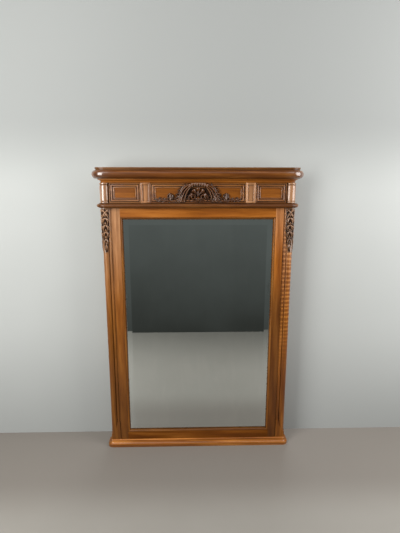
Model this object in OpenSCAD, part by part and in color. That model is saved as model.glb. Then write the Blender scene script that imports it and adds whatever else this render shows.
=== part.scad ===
// Overmantel mirror in carved walnut: a framed glass between two corner posts, on a moulded base,
// under a panelled frieze with a carved crest and a rounded cornice.
// The face looks along -Y, the origin is on the floor below the middle of the piece, sizes in mm.

/* [Carcass] */
// Width over the two corner posts
body_w = 950; // [880:5:1060]
// Depth from the face of the stiles to the back
carcass_d = 56; // [56:1:80]

/* [Base] */
// Height of the base
base_h = 38; // [34:1:60]
// How far the plinth stands out from the carcass
base_out = 19; // [16:1:30]
// Radius of the carcass line at the base corners
base_corner_r = 8; // [6:1:14]
// Height of the round bead on top of the base
base_bead_h = 9; // [6:1:12]
// Height of the straight plinth at the bottom
plinth_h = 14; // [8:1:18]
// Thickness of the board that the posts stand on
base_board_t = 20; // [14:1:24]

/* [Mirror frame] */
// Height of the stiles
frame_h = 1261; // [1000:5:1500]
// Width of a stile
stile_w = 38; // [36:1:60]
// Thickness of the stiles and rails
stile_t = 26; // [24:1:32]
// Height of the top rail
top_rail_h = 45; // [38:1:80]
// Height of the bottom rail
bottom_rail_h = 42; // [38:1:80]
// Length of the rail tenons
tenon_l = 28; // [16:1:32]
// Thickness of the tenons and tongues
tenon_t = 8; // [5:1:10]
// Width of the sight moulding round the glass
sight_w = 11; // [10:1:20]
// Depth of the glass behind the face of the stiles
glass_set = 13; // [11:1:15]
// Thickness of the glass
glass_t = 5; // [4:0.5:6]
// Width of the bevel, measured from the edge of the glass
bevel_w = 35; // [16:1:50]
// How much the bevel thins the edge of the glass
bevel_drop = 2; // [1:0.5:3]
// Thickness of the back boards
back_board_t = 8; // [6:1:12]
// Number of back boards
back_board_n = 5; // [3:1:8]

/* [Corner posts] */
// Width of a post
post_w = 53; // [50:1:55]
// Radius of the round column worked on the corner
column_r = 17; // [14:1:18]
// Width of the bead beside the column
bead_w = 15; // [10:1:16]
// Width of the sunk fillet between post and stile
fillet_w = 5; // [3:1:6]
// Depth of the sunk fillet
fillet_d = 5; // [3:1:7]
// Height of the plain block at the foot of a post
stop_block_h = 28; // [15:1:60]
// Height over which the round dies into the block
stop_run = 77; // [40:1:120]
// Height of the carved drop at the head of a post
drop_h = 214; // [120:2:300]
// Relief of the carved drop
drop_relief = 3; // [1:0.5:4]

/* [Frieze] */
// Height of the frieze
frieze_h = 99; // [90:1:130]
// Thickness of the frieze board
frieze_board_t = 16; // [12:1:18]
// Depth of the frieze board behind the face
frieze_set = 8; // [6:1:9]
// Radius of the turned colonnettes and of the corners above the posts
colonnette_r = 24; // [20:1:26]
// How far the colonnettes stand out from the corner of the carcass
colonnette_out = 5; // [0:1:8]
// Width of a pilaster block
pilaster_w = 48; // [36:1:60]
// Distance from the middle to the inner edge of a pilaster block
pilaster_x = 232; // [180:1:260]
// How far the pilaster blocks stand out from the face
pilaster_out = 4; // [2:1:8]
// Width of the moulding round the panels
panel_moulding_w = 25; // [20:1:30]
// Space between the panel moulding and its neighbours
panel_gap = 3; // [2:0.5:6]

/* [Carved crest] */
// Width of the carving over its outer sprays
crest_w = 424; // [380:2:450]
// How far the carving stands out from the frieze board
crest_out = 24; // [16:1:30]

/* [Cornice] */
// Height of the astragal under the frieze
astragal_h = 23; // [18:1:30]
// How far the astragal stands out
astragal_out = 22; // [12:1:26]
// Height of the cove above the frieze
cove_h = 18; // [14:1:30]
// How far the cove stands out
cove_out = 14; // [6:1:14]
// Height of the square fillet on top of the cove
cove_fillet_h = 4; // [2:1:6]
// Height of the round crown moulding
crown_h = 41; // [32:1:50]
// How far the crown stands out
crown_out = 40; // [28:1:48]
// Thickness of the top board
top_board_t = 12; // [8:1:20]
// How far the top board stands out
top_board_out = 24; // [6:1:28]

/* [Hanging plates] */
// Length of a hanging plate
plate_l = 64; // [50:1:80]
// Width of a hanging plate
plate_w = 26; // [22:1:30]
// Thickness of a hanging plate
plate_t = 2.5; // [2:0.5:4]
// Radius of the hanging hole
hang_hole_r = 4; // [3:0.5:5]
// Distance of the hanging holes below the head of the posts
hang_drop = 81; // [50:1:400]

/* [Fits] */
// Clearance round a tenon or a tongue in its slot
fit = 0.2; // [0.1:0.05:0.4]

/* [Hidden] */
$fn = 64;

walnut = "#8a5a34";
dark_walnut = "#5b3218";
pine = "#b99764";
brass = "#a98b4e";

// Heights of the layers, from the floor up
frame_z = base_h;
astragal_z = frame_z + frame_h;
frieze_z = astragal_z + astragal_h;
cove_z = frieze_z + frieze_h;
crown_z = cove_z + cove_h;
top_z = crown_z + crown_h;

// Plan: y = 0 is the face of the stiles, and place() centres the depth on the origin
half_w = body_w / 2;
corner_r = colonnette_r;
total_d = carcass_d + crown_out;
post_x = half_w - post_w;
stile_x = post_x - stile_w;
frieze_half = half_w - 2 * colonnette_r + colonnette_out;
hang_z = frame_h - hang_drop;
glass_lap = sight_w - 4;
sight_half_w = stile_x - sight_w;
sight_z0 = frame_z + bottom_rail_h;
sight_z1 = astragal_z - top_rail_h;
tenon_y = stile_t / 2 - tenon_t / 2;
tongue_l = 4;
back_y = stile_t + back_board_t;
eps = 0.01;

module place() {
    translate([0, total_d / 2 - carcass_d, 0]) children();
}

module both_sides() {
    children();
    mirror([1, 0, 0]) children();
}

// Mouldings that run round the front and both ends.
// A section has x outwards from the carcass line and y upwards, and the strips meet in mitres.

module corner_wedge(r, turn, angle) {
    translate([half_w - r, r, 0])
        rotate([0, 0, turn]) rotate_extrude(angle = angle) intersection() {
            translate([r, 0]) children();
            translate([0, -1]) square(2 * half_w);
        }
}

module front_strip(r) {
    translate([half_w - r, 0, 0]) rotate([90, 0, -90]) linear_extrude(body_w - 2 * r) children();
    both_sides() corner_wedge(r, -90, 45) children();
}

module end_strip(r) {
    translate([half_w, carcass_d, 0]) rotate([90, 0, 0]) linear_extrude(carcass_d - r) children();
    corner_wedge(r, 0, -45) children();
}

module base_section() {
    cavetto_h = base_h - base_bead_h - plinth_h;
    bead_r = base_bead_h / 2;
    neck = base_out - cavetto_h;
    difference() {
        translate([-base_corner_r, 0]) square([base_corner_r + base_out, plinth_h + cavetto_h]);
        translate([base_out, plinth_h + cavetto_h]) circle(cavetto_h);
    }
    translate([-base_corner_r, plinth_h]) square([base_corner_r + neck - bead_r / 2, base_h - plinth_h]);
    translate([neck - bead_r / 2, base_h - bead_r]) circle(bead_r);
}

module astragal_section() {
    round_r = astragal_h * 0.4;
    translate([-corner_r, 0]) square([corner_r + astragal_out - round_r - 2, astragal_h]);
    translate([astragal_out - round_r, astragal_h / 2]) circle(round_r);
}

module cove_section() {
    hollow_h = cove_h - cove_fillet_h;
    hollow_r = (cove_out * cove_out + hollow_h * hollow_h) / (2 * cove_out);
    difference() {
        translate([-corner_r, 0]) square([corner_r + cove_out, cove_h]);
        translate([hollow_r, 0]) circle(hollow_r, $fn = 128);
    }
}

module crown_section() {
    round_r = crown_h / 2;
    translate([-corner_r, 0]) square([corner_r + crown_out - round_r, crown_h]);
    translate([crown_out - round_r, round_r]) circle(round_r);
}

module base_front() {
    color(walnut) place() front_strip(base_corner_r) base_section();
}

module base_right() {
    color(walnut) place() end_strip(base_corner_r) base_section();
}

module base_left() {
    mirror([1, 0, 0]) base_right();
}

module astragal_front() {
    color(walnut) place() translate([0, 0, astragal_z]) front_strip(corner_r) astragal_section();
}

module astragal_right() {
    color(walnut) place() translate([0, 0, astragal_z]) end_strip(corner_r) astragal_section();
}

module astragal_left() {
    mirror([1, 0, 0]) astragal_right();
}

module cove_front() {
    color(walnut) place() translate([0, 0, cove_z]) front_strip(corner_r) cove_section();
}

module cove_right() {
    color(walnut) place() translate([0, 0, cove_z]) end_strip(corner_r) cove_section();
}

module cove_left() {
    mirror([1, 0, 0]) cove_right();
}

module crown_front() {
    color(walnut) place() translate([0, 0, crown_z]) front_strip(corner_r) crown_section();
}

module crown_right() {
    color(walnut) place() translate([0, 0, crown_z]) end_strip(corner_r) crown_section();
}

module crown_left() {
    mirror([1, 0, 0]) crown_right();
}

// Boards inside the mouldings

module deck(z, t, r) {
    translate([r - half_w, r, z]) cube([body_w - 2 * r, carcass_d - r, t]);
}

post_tenon = [30, 22, 12];

module post_tenon_block(grow) {
    translate([post_x + (post_w - post_tenon.x) / 2 - 2 - grow,
               (carcass_d - post_tenon.y) / 2 + 4 - grow, frame_z - post_tenon.z - grow])
        cube([post_tenon.x + 2 * grow, post_tenon.y + 2 * grow, post_tenon.z + grow + eps]);
}

module base_board() {
    color(pine) place() difference() {
        deck(base_h - base_board_t, base_board_t, base_corner_r);
        both_sides() post_tenon_block(fit);
    }
}

module base_back_rail() {
    rail_d = 22;
    rail_inset = 70;
    color(pine) place()
        translate([rail_inset - half_w, carcass_d - rail_d, 0])
            cube([body_w - 2 * rail_inset, rail_d, base_h - base_board_t]);
}

module astragal_deck() {
    color(pine) place() deck(astragal_z, astragal_h, corner_r);
}

module cornice_deck() {
    color(pine) place() deck(cove_z, cove_h, corner_r);
}

module crown_back_rail() {
    rail_d = 18;
    color(pine) place()
        translate([corner_r - half_w, carcass_d - rail_d, crown_z])
            cube([body_w - 2 * corner_r, rail_d, crown_h]);
}

module top_outline(out) {
    r = corner_r + out;
    hull_w = half_w + out;
    difference() {
        translate([-hull_w, -out]) square([2 * hull_w, carcass_d + out]);
        both_sides() translate([hull_w - r, -out]) square([r + 1, r]);
    }
    both_sides() intersection() {
        translate([half_w - corner_r, corner_r]) circle(r);
        translate([half_w - corner_r, -out - 1]) square([r + 2, r + 1]);
    }
}

module top_board() {
    neck_h = top_board_t * 0.4;
    neck_in = 3;
    color(walnut) place() translate([0, 0, top_z]) {
        linear_extrude(neck_h) top_outline(top_board_out - neck_in);
        translate([0, 0, neck_h]) linear_extrude(top_board_t - neck_h) top_outline(top_board_out);
    }
}

// Mirror frame: stiles run through, the rails are tenoned between them

function tenon_h(rail_h) = rail_h - 14;

module rail(z, rail_h) {
    translate([-stile_x, 0, z]) cube([2 * stile_x, stile_t, rail_h]);
    translate([-stile_x - tenon_l, tenon_y, z + (rail_h - tenon_h(rail_h)) / 2])
        cube([2 * (stile_x + tenon_l), tenon_t, tenon_h(rail_h)]);
}

module mortise(z, rail_h) {
    translate([stile_x - 1, tenon_y - fit, z + (rail_h - tenon_h(rail_h)) / 2 - fit])
        cube([1 + tenon_l + fit, tenon_t + 2 * fit, tenon_h(rail_h) + 2 * fit]);
}

// Places of the screws that hold the back boards: down the stiles, and along the rails
screw_side_n = 6;
screw_side_z = [for (i = [0 : screw_side_n - 1])
    sight_z0 + 60 + i * (sight_z1 - sight_z0 - 120) / (screw_side_n - 1)];
board_w = 2 * (post_x - 6) / back_board_n;
screw_rail_x = [for (i = [0 : back_board_n - 1]) -(post_x - 6) + (i + 0.5) * board_w];
screw_r = 1.6;
screw_hole_r = screw_r + 0.1;
screw_l = 22;
screw_head_r = 3.6;
screw_head_h = 2;
screw_rail_in = 10;

module at_back_screws() {
    for (z = screw_side_z) both_sides() translate([stile_x + stile_w / 2, back_y, z]) children();
    for (x = screw_rail_x) {
        translate([x, back_y, sight_z0 - screw_rail_in]) children();
        translate([x, back_y, sight_z1 + screw_rail_in]) children();
    }
}

module screw(l, grow = 0) {
    rotate([90, 0, 0]) cylinder(r = screw_r + grow, h = l);
}

module stile_right() {
    color(walnut) place() difference() {
        union() {
            translate([stile_x, 0, frame_z]) cube([stile_w, stile_t, frame_h]);
            translate([post_x - 1, tenon_y, frame_z]) cube([1 + tongue_l, tenon_t, frame_h]);
        }
        mortise(astragal_z - top_rail_h, top_rail_h);
        mortise(frame_z, bottom_rail_h);
        at_back_screws() screw(screw_l + 1, 0.1);
    }
}

module stile_left() {
    mirror([1, 0, 0]) stile_right();
}

module top_rail() {
    color(walnut) place() difference() {
        rail(astragal_z - top_rail_h, top_rail_h);
        at_back_screws() screw(screw_l + 1, 0.1);
    }
}

module bottom_rail() {
    color(walnut) place() difference() {
        rail(frame_z, bottom_rail_h);
        at_back_screws() screw(screw_l + 1, 0.1);
    }
}

// Mitred frames: the section has x inwards from the outer edge and y forwards from the seat

module frame_strip(len, out, strip_w) {
    intersection() {
        translate([-len / 2, 0, -out]) rotate([0, -90, 180]) linear_extrude(len) children();
        translate([0, 1, -out]) rotate([90, 0, 0]) linear_extrude(60)
            polygon([[-len / 2, 0], [len / 2, 0], [len / 2 - strip_w, strip_w], [strip_w - len / 2, strip_w]]);
    }
}

module frame_side(w, h, strip_w, side) {
    rotate([0, 90 * side, 0]) frame_strip(side % 2 == 0 ? w : h, (side % 2 == 0 ? h : w) / 2, strip_w) children();
}

module sight_section() {
    round_r = min(sight_w - 3, glass_set - 4);
    square([sight_w, 3]);
    square([1, 3 + round_r]);
    intersection() {
        translate([1, 3]) circle(round_r);
        translate([0, 3]) square([sight_w, glass_set]);
    }
}

module sight_side(side) {
    color(walnut) place()
        translate([0, glass_set, (sight_z0 + sight_z1) / 2])
            frame_side(2 * stile_x, sight_z1 - sight_z0, sight_w, side) sight_section();
}

module sight_bottom() {
    sight_side(0);
}

module sight_right() {
    sight_side(3);
}

module sight_top() {
    sight_side(2);
}

module sight_left() {
    sight_side(1);
}

module mirror_glass() {
    half = sight_half_w + glass_lap;
    z0 = sight_z0 + sight_w - glass_lap;
    z1 = sight_z1 - sight_w + glass_lap;
    color("#c4ccce") place() hull() {
        translate([-half, glass_set + bevel_drop, z0]) cube([2 * half, glass_t - bevel_drop, z1 - z0]);
        translate([bevel_w - half, glass_set, z0 + bevel_w])
            cube([2 * (half - bevel_w), glass_t, z1 - z0 - 2 * bevel_w]);
    }
}

// Small glued blocks that keep the glass against the sight moulding
glazing_n = 4;
block_s = [10, 34];

module glazing_blocks() {
    y0 = glass_set + glass_t;
    dz = (sight_z1 - sight_z0) / glazing_n;
    color(pine) place() {
        for (i = [0 : glazing_n - 1])
            both_sides() translate([stile_x - block_s.x, y0, sight_z0 + (i + 0.5) * dz - block_s.y / 2])
                cube([block_s.x, stile_t - y0, block_s.y]);
        for (x = [-stile_x / 2, stile_x / 2]) {
            translate([x - block_s.y / 2, y0, sight_z0]) cube([block_s.y, stile_t - y0, block_s.x]);
            translate([x - block_s.y / 2, y0, sight_z1 - block_s.x]) cube([block_s.y, stile_t - y0, block_s.x]);
        }
    }
}

module back_boards() {
    board_gap = 1;
    z0 = frame_z + 8;
    color(pine) place() difference() {
        for (x = screw_rail_x)
            translate([x - board_w / 2 + board_gap / 2, stile_t, z0])
                cube([board_w - board_gap, back_board_t, frame_h - 16]);
        at_back_screws() translate([0, 1, 0]) screw(back_board_t + 2, 0.1);
    }
}

module back_screws() {
    color(brass) place() at_back_screws() {
        screw(screw_l);
        rotate([-90, 0, 0]) cylinder(r1 = screw_head_r, r2 = screw_head_r * 0.75, h = screw_head_h);
    }
}

module back_rail(z) {
    rail_h = 24;
    translate([-post_x, back_y, z]) cube([2 * post_x, carcass_d - back_y, rail_h]);
}

module back_rail_bottom() {
    color(pine) place() back_rail(frame_z);
}

module back_rail_top() {
    color(pine) place() back_rail(astragal_z - 24);
}

// Corner posts. The plan section runs in from the outer corner: x across the front, y to the back.

bead_r = bead_w / 2;
bead_x = post_w - fillet_w - bead_r;
bead_end = bead_x + bead_r;
groove_x = bead_x - bead_r;
groove_in = 0.4;
round_in = 0.4;

// The round and the beads lie a hair below the faces of the post they are worked in
module post_section() {
    lap = column_r + 1;
    translate([column_r, column_r] + [round_in, round_in]) circle(column_r);
    translate([column_r, column_r]) square([post_w - column_r, carcass_d - column_r]);
    translate([bead_x, bead_r + round_in]) circle(bead_r);
    translate([groove_x + groove_in, bead_r]) square([post_w - groove_x - groove_in, lap - bead_r]);
    translate([bead_x, fillet_d]) square([post_w - bead_x, lap - fillet_d]);
    translate([bead_r + round_in, bead_x]) circle(bead_r);
    translate([bead_r, groove_x + groove_in]) square([lap - bead_r, carcass_d - groove_x - groove_in]);
    translate([fillet_d, bead_x]) square([lap - fillet_d, carcass_d - bead_x]);
    translate([0, post_w]) square([lap, carcass_d - post_w]);
}

// The stop: a round runout that starts at the outer corner and ends at the groove of the bead
module stop_cutter() {
    chord = sqrt(pow(groove_x, 2) + pow(stop_run, 2));
    r = 1.45 * chord;
    dir = [groove_x, stop_run] / chord;
    c = [groove_x, stop_run] / 2 + sqrt(r * r - chord * chord / 4) * [-dir.y, dir.x];
    translate([c.x, carcass_d + 1, stop_block_h + c.y]) rotate([90, 0, 0])
        cylinder(r = r, h = carcass_d + 2, $fn = 180);
}

module post_stop() {
    difference() {
        cube([bead_end, carcass_d, stop_block_h + stop_run]);
        intersection() {
            stop_cutter();
            mirror([1, -1, 0]) stop_cutter();
            translate([-1, -1, -1]) cube([post_w, post_w, frame_h]);
        }
    }
}

// A carved relief: a grid of points over a flat seat, closed round its edges
module relief(front, cols, rows, seat_y) {
    n = cols + 1;
    m = len(front);
    edge = concat(
        [for (i = [0 : cols - 1]) i],
        [for (j = [0 : rows - 1]) j * n + cols],
        [for (i = [cols : -1 : 1]) rows * n + i],
        [for (j = [rows : -1 : 1]) j * n]);
    e = len(edge);
    faces = concat(
        [for (j = [0 : rows - 1]) for (i = [0 : cols - 1]) let(q = j * n + i)
            each [[q, q + 1, q + n + 1], [q, q + n + 1, q + n]]],
        [for (j = [0 : rows - 1]) let(q = m + j * n)
            j == 0 ? [q + n, q + n + cols, for (i = [cols : -1 : 0]) q + i] :
            j == rows - 1 ? [q, for (i = [0 : cols]) q + n + i, q + cols] :
            [q, q + n, q + n + cols, q + cols]],
        [for (k = [0 : e - 1]) let(a = edge[k], b = edge[(k + 1) % e])
            each [[b, a, m + a], [b, m + a, m + b]]]);
    polyhedron(concat(front, [for (q = front) [q.x, seat_y, q.z]]), faces, convexity = 8);
}

// A tube of points, ring over ring
function tube_faces(n, rings) = concat(
    [[for (i = [n - 1 : -1 : 0]) i]],
    [for (j = [0 : rings - 2]) for (i = [0 : n - 1]) let(k = (i + 1) % n)
        each [[j * n + i, j * n + k, (j + 1) * n + k], [j * n + i, (j + 1) * n + k, (j + 1) * n + i]]],
    [[for (i = [0 : n - 1]) (rings - 1) * n + i]]);

// The carved drops sit on a flat planed along the corner of the post
drop_cols = 14;
drop_rows = 44;
drop_seat = column_r * 0.35;
drop_half = 66;
husk_n = 4;

// Relief from 0 to 1 over the lean from the corner line and the height from the foot of the drop:
// a spray of crossed leaves at the head, pairs of husks below it, and a bud at the foot
function drop_relief_at(lean, z) =
    let(t = (1 - z) * husk_n, k = floor(t), u = t - k, side = abs(lean),
        size = 1 - 0.16 * k, rib = 0.3 * size + 0.3 * u * size,
        leaf = max(0, 1 - pow((side - rib) / (0.3 * size), 2)) * pow(max(0, sin(180 * pow(u, 0.7))), 0.6),
        cross = max(0, 1 - pow((side - abs(0.8 - 1.6 * u)) / 0.3, 2)) * 0.9,
        berry = max(0, 1 - pow(side / 0.2, 2) - pow((u - 0.86) / 0.14, 2)),
        tail = max(0, 1 - pow(side / 0.24, 2)) * max(0, 1 - pow((u - 0.35) / 0.36, 2)))
    k == 0 ? max(cross, berry) : (k >= husk_n - 1 ? max(tail, 0.8 * leaf * (1 - u)) : max(leaf, berry));

function drop_point(i, j) =
    let(v = 1 - 2 * i / drop_cols, z = j / drop_rows, a = drop_half * v,
        edge = i == 0 || i == drop_cols || j == 0 || j == drop_rows ? 0 : 1,
        r = column_r - drop_relief * 0.6 + edge * drop_relief * drop_relief_at(v, z))
    [r * sin(a), -max(r * cos(a), drop_seat + 0.4), z * drop_h];

module carved_drop() {
    relief([for (j = [0 : drop_rows]) for (i = [0 : drop_cols]) drop_point(i, j)], drop_cols, drop_rows, -drop_seat);
}

module at_drop() {
    translate([half_w - column_r, column_r, astragal_z - drop_h]) rotate([0, 0, 45]) children();
}

module drop_right() {
    color(dark_walnut) place() at_drop() carved_drop();
}

module drop_left() {
    mirror([1, 0, 0]) drop_right();
}

plate_y = carcass_d - plate_t;
plate_x = post_x + post_w / 2;
plate_screw_dz = plate_l / 2 - 9;
pocket_d = 12;
pocket_r = hang_hole_r + 3;

module post_right() {
    color(walnut) place() difference() {
        union() {
            translate([half_w, 0, frame_z]) mirror([1, 0, 0]) {
                linear_extrude(frame_h) post_section();
                post_stop();
            }
            post_tenon_block(0);
        }
        at_drop() translate([-column_r, -drop_seat - column_r, 0])
            cube([2 * column_r, column_r, drop_h + 1]);
        translate([post_x - 1, tenon_y - fit, frame_z - 1])
            cube([1 + tongue_l + fit, tenon_t + 2 * fit, frame_h + 2]);
        translate([plate_x - plate_w / 2, plate_y, frame_z + hang_z - plate_l / 2])
            cube([plate_w, plate_t + 1, plate_l]);
        translate([plate_x, carcass_d, frame_z + hang_z]) rotate([90, 0, 0])
            cylinder(r = pocket_r, h = plate_t + pocket_d);
        for (s = [-1, 1]) translate([plate_x, carcass_d, frame_z + hang_z + s * plate_screw_dz])
            screw(plate_t + 16, 0.1);
    }
}

module post_left() {
    mirror([1, 0, 0]) post_right();
}

module hanging_plate_right() {
    color(brass) place() difference() {
        translate([plate_x - plate_w / 2, plate_y, frame_z + hang_z - plate_l / 2])
            cube([plate_w, plate_t, plate_l]);
        translate([plate_x, carcass_d + 1, frame_z + hang_z]) rotate([90, 0, 0])
            cylinder(r = hang_hole_r, h = plate_t + 2);
        for (s = [-1, 1]) translate([plate_x, carcass_d + 1, frame_z + hang_z + s * plate_screw_dz]) {
            screw(plate_t + 2, 0.1);
            rotate([90, 0, 0]) cylinder(r = screw_head_r + 0.1, h = 1 + plate_t / 2);
        }
    }
}

module hanging_plate_left() {
    mirror([1, 0, 0]) hanging_plate_right();
}

module plate_screws() {
    color(brass) place() both_sides()
        for (s = [-1, 1]) translate([plate_x, carcass_d - plate_t / 2, frame_z + hang_z + s * plate_screw_dz]) {
            screw(14);
            rotate([-90, 0, 0]) cylinder(r = screw_head_r, h = plate_t / 2);
        }
}

// Frieze

module frieze_board() {
    color(walnut) place()
        translate([-frieze_half, frieze_set, frieze_z]) cube([2 * frieze_half, frieze_board_t, frieze_h]);
}

module frieze_back_board() {
    y0 = 2 * colonnette_r - colonnette_out;
    color(pine) place() translate([2 - half_w, y0, frieze_z]) cube([body_w - 4, carcass_d - y0, frieze_h]);
}

module colonnette_right() {
    r = colonnette_r;
    ring_h = 11;
    foot_h = 9;
    neck = 1.5;
    axis = [half_w - r + colonnette_out, r - colonnette_out, frieze_z];
    color(walnut) place() translate(axis) rotate_extrude() difference() {
        square([r, frieze_h]);
        translate([r + 1, foot_h + 3]) circle(3);
        translate([r - neck / 2, foot_h + 3]) square([r, frieze_h - foot_h - ring_h - 6]);
        translate([r + 1, frieze_h - ring_h - 3]) circle(3);
        difference() {
            translate([r - ring_h / 2, frieze_h - ring_h]) square([r, ring_h + 1]);
            translate([r - ring_h / 2, frieze_h - ring_h / 2]) circle(ring_h / 2);
            translate([r - ring_h / 2 - 1, frieze_h - ring_h / 2]) square([2, 2 * ring_h]);
        }
        difference() {
            translate([r - foot_h / 2, -1]) square([r, foot_h + 1]);
            translate([r - foot_h / 2, foot_h / 2]) circle(foot_h / 2);
        }
    }
}

module colonnette_left() {
    mirror([1, 0, 0]) colonnette_right();
}

module pilaster_right() {
    border = 7;
    sunk = 5;
    step = 4;
    t = frieze_set + pilaster_out;
    color(walnut) place() translate([pilaster_x, frieze_set, frieze_z]) difference() {
        translate([0, -t, 0]) cube([pilaster_w, t, frieze_h]);
        translate([border, -t - 1, border]) cube([pilaster_w - 2 * border, 1 + sunk, frieze_h - 2 * border]);
        translate([border + step, -t - 1, border + step])
            cube([pilaster_w - 2 * (border + step), 1 + sunk + 2, frieze_h - 2 * (border + step)]);
    }
}

module pilaster_left() {
    mirror([1, 0, 0]) pilaster_right();
}

module panel_section() {
    w = panel_moulding_w;
    lip_w = 4;
    lip_h = frieze_set + 3;
    bead_r = 2.8;
    slope_to = w - 2 * bead_r - 3.9;
    polygon([[0, 0], [w, 0], [w, 2], [slope_to, 2], [slope_to, 3.5], [lip_w, lip_h - 1], [lip_w, lip_h], [0, lip_h]]);
    translate([w - bead_r - 1.8, bead_r + 0.2]) circle(bead_r);
}

panel_h = frieze_h - 2 * panel_gap;
centre_w = 2 * (pilaster_x - panel_gap / 2);
side_w = frieze_half - pilaster_x - pilaster_w - panel_gap;
side_x = pilaster_x + pilaster_w + panel_gap / 2 + side_w / 2;

module panel_side(x, w, side) {
    translate([x, frieze_set, frieze_z + frieze_h / 2])
        frame_side(w, panel_h, panel_moulding_w, side) panel_section();
}

module panel_frame_right() {
    color(walnut) place() for (side = [0 : 3]) panel_side(side_x, side_w, side);
}

module panel_frame_left() {
    mirror([1, 0, 0]) panel_frame_right();
}

module centre_frame_bottom() {
    color(walnut) place() panel_side(0, centre_w, 0);
}

module centre_frame_left() {
    color(walnut) place() panel_side(0, centre_w, 1);
}

module centre_frame_top() {
    color(walnut) place() panel_side(0, centre_w, 2);
}

module centre_frame_right() {
    color(walnut) place() panel_side(0, centre_w, 3);
}

// Carved crest. Every leaf follows an arc in the plane of the frieze, and is thickest along its rib.

function arc_at(p, a, turn, l, t) =
    abs(turn) < 1 ? p + l * t * [cos(a), sin(a)]
                  : p + l * 180 / (PI * turn) * [sin(a + turn * t) - sin(a), cos(a) - cos(a + turn * t)];

function leaf_width(t, lobes) = pow(sin(180 * pow(t, 0.62)), 0.7) * (1 - 0.22 * pow(cos(180 * lobes * t), 2));

module leaf(p, a, turn, l, w, h, curl = 0, lobes = 3, rows = 12) {
    cols = 4;
    front = [for (j = [0 : rows]) for (i = [0 : cols])
        let(t = 0.02 + 0.96 * j / rows, c = arc_at(p, a, turn, l, t), b = a + turn * t, v = 2 * i / cols - 1,
            half = w / 2 * leaf_width(t, lobes), rise = h * (0.45 + 0.55 * sin(180 * pow(t, 0.8))) + curl * t * t)
        [c.x - v * half * sin(b), -rise * (1 - 0.55 * v * v) + (i % 2 == 1 ? 0.12 * h : 0), c.y + v * half * cos(b)]];
    relief(front, cols, rows, 0);
}

module scroll(p, r, turns, h, hand) {
    steps = 20;
    sides = 6;
    points = [for (j = [0 : steps]) for (i = [0 : sides - 1])
        let(t = j / steps, a = hand * 360 * turns * t, rr = r * (1 - 0.72 * t), tube = r * 0.3 * (1 - 0.45 * t),
            b = hand * 360 * i / sides, lift = h * (0.55 + 0.45 * t))
        [p.x + (rr + tube * cos(b)) * cos(a), -lift - tube * sin(b), p.y + (rr + tube * cos(b)) * sin(a)]];
    polyhedron(points, tube_faces(sides, steps + 1), convexity = 6);
    translate([p.x, 0, p.y]) rotate([90, 0, 0]) cylinder(r = r * 0.95, h = h * 0.6, $fn = 12);
    translate([p.x, -h, p.y]) sphere(r * 0.28, $fn = 8);
}

module crest_half() {
    h = crest_out;
    leaf([104, 8], 98, 46, 102, 34, h, lobes = 5);
    for (i = [0 : 3]) {
        s = i / 3;
        q = arc_at([108, 14], 98, 46, 86, s);
        leaf(q, 48 + 22 * s, 44, 26 - 4 * s, 14, h * 0.66, curl = 2, lobes = 2, rows = 6);
    }
    leaf([98, 12], 14, -36, 46, 16, h * 0.55, lobes = 2, rows = 8);
    scroll([136, 31], 12, 1.3, h * 0.5, 1);
    leaf([134, 16], -4, 12, 78, 15, h * 0.45, lobes = 4, rows = 10);
    leaf([150, 20], 24, -54, 46, 11, h * 0.4, lobes = 2, rows = 6);
    scroll([32, 28], 14, 1.4, h * 0.62, -1);
    leaf([8, 10], 40, 30, 36, 14, h * 0.7, curl = 2, lobes = 2, rows = 7);
    leaf([20, 84], 8, -52, 44, 18, h * 0.9, lobes = 3, rows = 8);
    leaf([54, 62], -72, -20, 46, 15, h * 0.55, lobes = 3, rows = 7);
}

module crest_shell() {
    for (i = [-2 : 2]) leaf([i * 4, 34], 90 - i * 26, 0, 50 - 4 * abs(i), 20, crest_out * 0.42, lobes = 1, rows = 7);
}

// Room for the mouldings above and below, in a plain outline a little larger than their section
module moulding_room() {
    w = panel_moulding_w + fit;
    lip = frieze_set + 3 + fit;
    translate([-centre_w / 2 - 1, 0, panel_gap]) rotate([90, 0, 90]) linear_extrude(centre_w + 2)
        polygon([[1, -5], [1, w], [-2.4, w], [-2.4, w - 1.3], [-6.2, w - 2], [-6.2, w - 13], [-lip + 0.6, 4.4],
                 [-lip, 4.4], [-lip, -5]]);
}

module crest_carving() {
    color(dark_walnut) place() translate([0, frieze_set, frieze_z]) resize([crest_w, 0, 0]) difference() {
        intersection() {
            union() {
                both_sides() crest_half();
                crest_shell();
                leaf([0, 72], 90, 0, 26, 70, crest_out, curl = 3, lobes = 3, rows = 8);
                leaf([0, 10], 90, 0, 28, 16, crest_out * 0.85, curl = 2, lobes = 2, rows = 7);
                translate([0, -crest_out * 0.5, 14]) sphere(8, $fn = 10);
            }
            translate([-crest_w, -60, panel_gap + 1]) cube([2 * crest_w, 60, frieze_h - 2 * panel_gap - 2]);
        }
        moulding_room();
        translate([0, 0, frieze_h]) mirror([0, 0, 1]) moulding_room();
    }
}

base_board();
base_front();
base_left();
base_right();
base_back_rail();
post_left();
post_right();
drop_left();
drop_right();
stile_left();
stile_right();
top_rail();
bottom_rail();
sight_top();
sight_bottom();
sight_left();
sight_right();
mirror_glass();
glazing_blocks();
back_boards();
back_rail_top();
back_rail_bottom();
back_screws();
astragal_front();
astragal_left();
astragal_right();
astragal_deck();
frieze_board();
frieze_back_board();
colonnette_left();
colonnette_right();
pilaster_left();
pilaster_right();
panel_frame_left();
panel_frame_right();
centre_frame_top();
centre_frame_bottom();
centre_frame_left();
centre_frame_right();
crest_carving();
cove_front();
cove_left();
cove_right();
cornice_deck();
crown_front();
crown_left();
crown_right();
crown_back_rail();
top_board();
hanging_plate_left();
hanging_plate_right();
plate_screws();
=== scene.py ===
import math

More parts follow.
